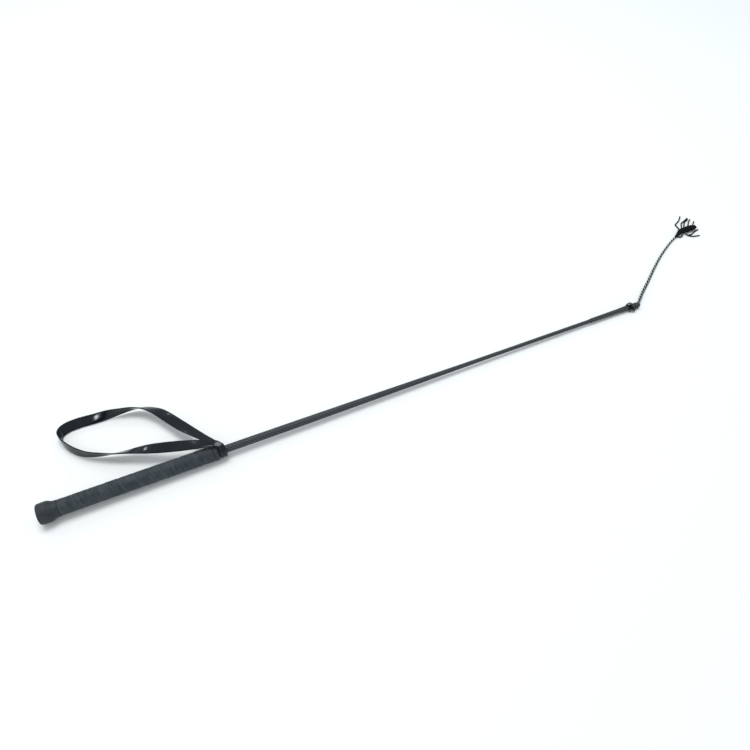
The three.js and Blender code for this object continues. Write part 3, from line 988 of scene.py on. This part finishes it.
# The strap's two ends wind round the neck: the angle from the top in degrees, then millimetres from the
# rod's axis and along the rod.
NEAR_TURN = [
    (400, 5.9, 206.0),
    (360, 6.3, 206.2),
    (315, 6.7, 206.1),
    (270, 6.9, 206.0),
    (225, 7.0, 206.1),
    (180, 7.0, 206.3),
    (135, 7.0, 206.6),
    (90, 7.1, 206.8),
    (62, 7.6, 206.8),
    (36, 8.9, 206.8),
    (13, 10.8, 205.3),
]
FAR_TURN = [
    (5, 9.4, 202.1),
    (30, 8.6, 202.8),
    (60, 7.8, 202.9),
    (90, 7.4, 202.8),
    (135, 7.2, 202.5),
    (180, 7.1, 202.3),
    (225, 7.0, 202.2),
    (270, 6.9, 202.2),
    (315, 6.7, 202.4),
    (360, 6.3, 202.6),
    (390, 5.9, 202.8),
]
# The strap's width, thickness and how far its edges are rolled under, from 0 to 1.
TURN_SIZE = (4.4, 2.9, 0.75)  # in the turns
TURN_FOOT = (6.4, 2.0, 0.3)  # where the turns begin, on top of the neck
GATHERED = (8.6, 1.9, 0.1)  # where the strap meets the neck
GATHER_START = 165.0  # the strap narrows from here along the crop
GATHER_LENGTH = 35.0
BLEND_START = table(199.0, 3.6, 21.0)


def turn_rows(turn, way):
    """Rows for one end's turns round the neck. way is 1 where the inner face looks outward, and else -1."""
    rows = []
    for degrees, radius, along in turn:
        angle = math.radians(degrees)
        outward = ROD_UP * math.cos(angle) + Vector((0, -math.sin(angle), 0))
        size = TURN_SIZE if degrees > 20 else TURN_FOOT
        rows.append([*(rod(along, 0, 0) + outward * radius * MM), *(outward * way), *size])
    return rows


def loop_rows():
    """Rows for the loop between its two ends."""
    rows = []
    route = np.array([[*table(x, y, z), lean] for x, y, z, lean in STRAP_ROUTE])
    for (x, y, z, lean), tangent in zip(route, tangents_of(route)):
        outward = Vector((-tangent[1], tangent[0], 0)).normalized()
        upright = Vector(tangent).cross(outward)
        facing = upright * math.sin(math.radians(lean)) - outward * math.cos(math.radians(lean))
        gathered = ((x / MM + HALF_LENGTH) - GATHER_START) / GATHER_LENGTH
        gathered = min(1.0, max(0.0, gathered))
        width = STRAP_WIDTH + (GATHERED[0] - STRAP_WIDTH) * gathered**1.5
        thickness = STRAP_THICKNESS + (GATHERED[1] - STRAP_THICKNESS) * gathered
        rows.append([x, y, z, *facing, width, thickness, 0.1 * gathered])
    return rows


def strap_control_points():
    """Rows of x, y, z, the inner face's direction, and the strap's width, thickness and roll, end to end."""
    near_meeting = [*table(199.4, 3.5, 22.6), 0, 0, 1, *GATHERED]
    far_meeting = [*table(198.6, 4.6, 20.4), 0, 0, -1, *GATHERED]
    return [*turn_rows(NEAR_TURN, 1), near_meeting, *loop_rows(), far_meeting, *turn_rows(FAR_TURN, -1)]


def strap_section():
    """The strap's outline as shares of its width and thickness, with a seam along its outer face."""
    edge = [(0.5 + 0.055 * math.cos(a) - 0.055, 0.42 * math.sin(a)) for a in np.linspace(1.3, -1.3, 7)]
    other_edge = [(-across, -out) for across, out in edge]
    inner = [(share, 0.5) for share in np.linspace(-0.4, 0.4, 9)]
    seam = [(0.24, -0.5), (0.21, -0.46), (0.19, -0.45), (0.17, -0.46), (0.14, -0.5)]
    beyond = [(0.1, -0.52), (0.0, -0.53), (-0.1, -0.53), (-0.2, -0.52), (-0.3, -0.51), (-0.4, -0.5)]
    return np.array([*inner, *edge, (0.4, -0.5), (0.3, -0.51), *seam, *beyond, *other_edge])


def strap_piece(name, line, section):
    """A length of strap: its flat faces follow the line's own facing columns."""
    tangents = tangents_of(line)
    facing = unit(line[:, 3:6] - tangents * (line[:, 3:6] * tangents).sum(1, keepdims=True))
    across = np.cross(facing, tangents)
    rolled = np.sqrt(np.clip(1 - line[:, None, 8] * (2 * section[None, :, 0]) ** 2, 0.05, 1))
    rings = (
        line[:, None, :3]
        + across[:, None, :] * (section[None, :, 0] * line[:, None, 6])[..., None] * MM
        + facing[:, None, :] * (section[None, :, 1] * line[:, None, 7] * rolled)[..., None] * MM
    )
    outline = np.array([[wide * STRAP_WIDTH, thick * STRAP_THICKNESS, 0] for wide, thick in section])
    return skin(name, rings, PATENT, along=lengths(line), around=lengths(outline) * MM)


def wrist_strap():
    """The whole strap as one line, cut into the two turns on the neck and the loop between them."""
    line = evenly(smooth(strap_control_points(), 16), 0.9 * MM)
    section = strap_section()
    on_neck = line[:, 0] > BLEND_START.x + 0.2 * MM
    first_off = int(np.argmin(on_neck))
    last_off = len(line) - 1 - int(np.argmin(on_neck[::-1]))
    near = strap_piece("near_turn", line[: first_off + 1], section)
    loop = strap_piece("patent_strap", line[first_off : last_off + 1], section)
    far = strap_piece("far_turn", line[last_off:], section)
    hitch = joined("hitch_turns", [near, far])
    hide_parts("strap_hitch")
    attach(hitch, "strap_hitch")
    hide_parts("wrist_strap")
    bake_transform(loop)


wrist_strap()

# ---- the hidden pieces, which stay as the CAD has them -------------------

HIDDEN_LOOKS = {
    "handle_core": inner_plastic("handle_plastic", (0.06, 0.065, 0.07), (0.10, 0.105, 0.11), 0.6),
    "core_rod": inner_plastic("fibreglass", (0.52, 0.48, 0.34), (0.68, 0.64, 0.48), 0.35),
}
for node, look in HIDDEN_LOOKS.items():
    frame["nodes"][node].data.materials.clear()
    frame["nodes"][node].data.materials.append(look)
